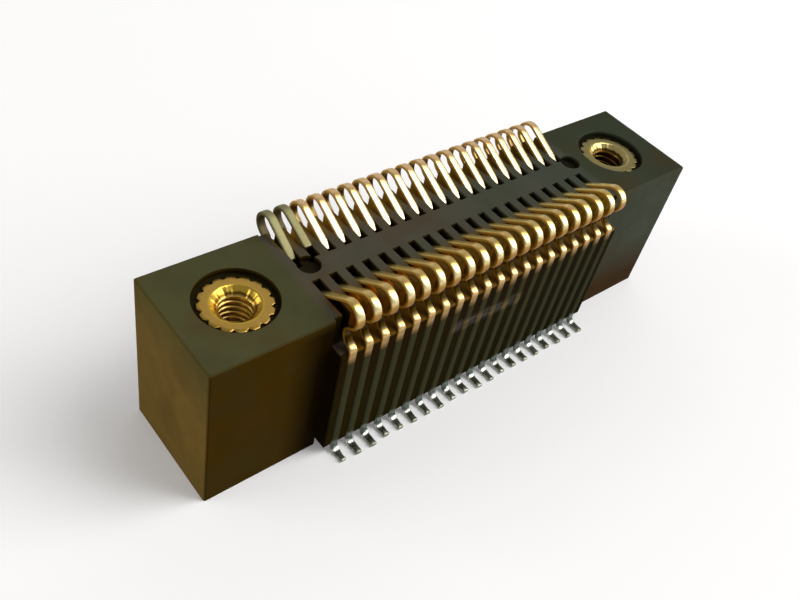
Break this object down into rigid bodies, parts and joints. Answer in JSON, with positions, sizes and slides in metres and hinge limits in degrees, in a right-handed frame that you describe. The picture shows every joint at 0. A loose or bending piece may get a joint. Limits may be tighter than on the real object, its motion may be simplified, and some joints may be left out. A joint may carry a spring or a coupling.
{
  "type": "board to board connector",
  "caption": "Low stacking connector: moulded housing, two facing rows of sprung contact beams over cross slots, solder feet below, and a knurled threaded insert in each end block.",
  "frame": {"origin": "on the board plane, under the middle of the part", "axes": "+X along the contact rows, -Y towards the near row, +Z away from the board"},
  "size_m": [0.0428, 0.0132, 0.0136],
  "materials": {
    "moulded_plastic": "fine-grained glass-filled moulding",
    "insert_brass": "turned brass",
    "plated_strip": "gold plating on the springs, dull nickel shanks, tinned feet"
  },
  "bodies": {
    "root": {"housing": "moulded_plastic", "threaded_insert_left": "insert_brass", "threaded_insert_right": "insert_brass", "contact_near_01": "plated_strip", "contact_near_02": "plated_strip", "contact_near_03": "plated_strip", "contact_near_04": "plated_strip", "contact_near_05": "plated_strip", "contact_near_06": "plated_strip", "contact_near_07": "plated_strip", "contact_near_08": "plated_strip", "contact_near_09": "plated_strip", "contact_near_10": "plated_strip", "contact_near_11": "plated_strip", "contact_near_12": "plated_strip", "contact_near_13": "plated_strip", "contact_near_14": "plated_strip", "contact_near_15": "plated_strip", "contact_near_16": "plated_strip", "contact_near_17": "plated_strip", "contact_near_18": "plated_strip", "contact_near_19": "plated_strip", "contact_near_20": "plated_strip", "contact_far_01": "plated_strip", "contact_far_02": "plated_strip", "contact_far_03": "plated_strip", "contact_far_04": "plated_strip", "contact_far_05": "plated_strip", "contact_far_06": "plated_strip", "contact_far_07": "plated_strip", "contact_far_08": "plated_strip", "contact_far_09": "plated_strip", "contact_far_10": "plated_strip", "contact_far_11": "plated_strip", "contact_far_12": "plated_strip", "contact_far_13": "plated_strip", "contact_far_14": "plated_strip", "contact_far_15": "plated_strip", "contact_far_16": "plated_strip", "contact_far_17": "plated_strip", "contact_far_18": "plated_strip", "contact_far_19": "plated_strip", "contact_far_20": "plated_strip"}
  },
  "joints": []
}
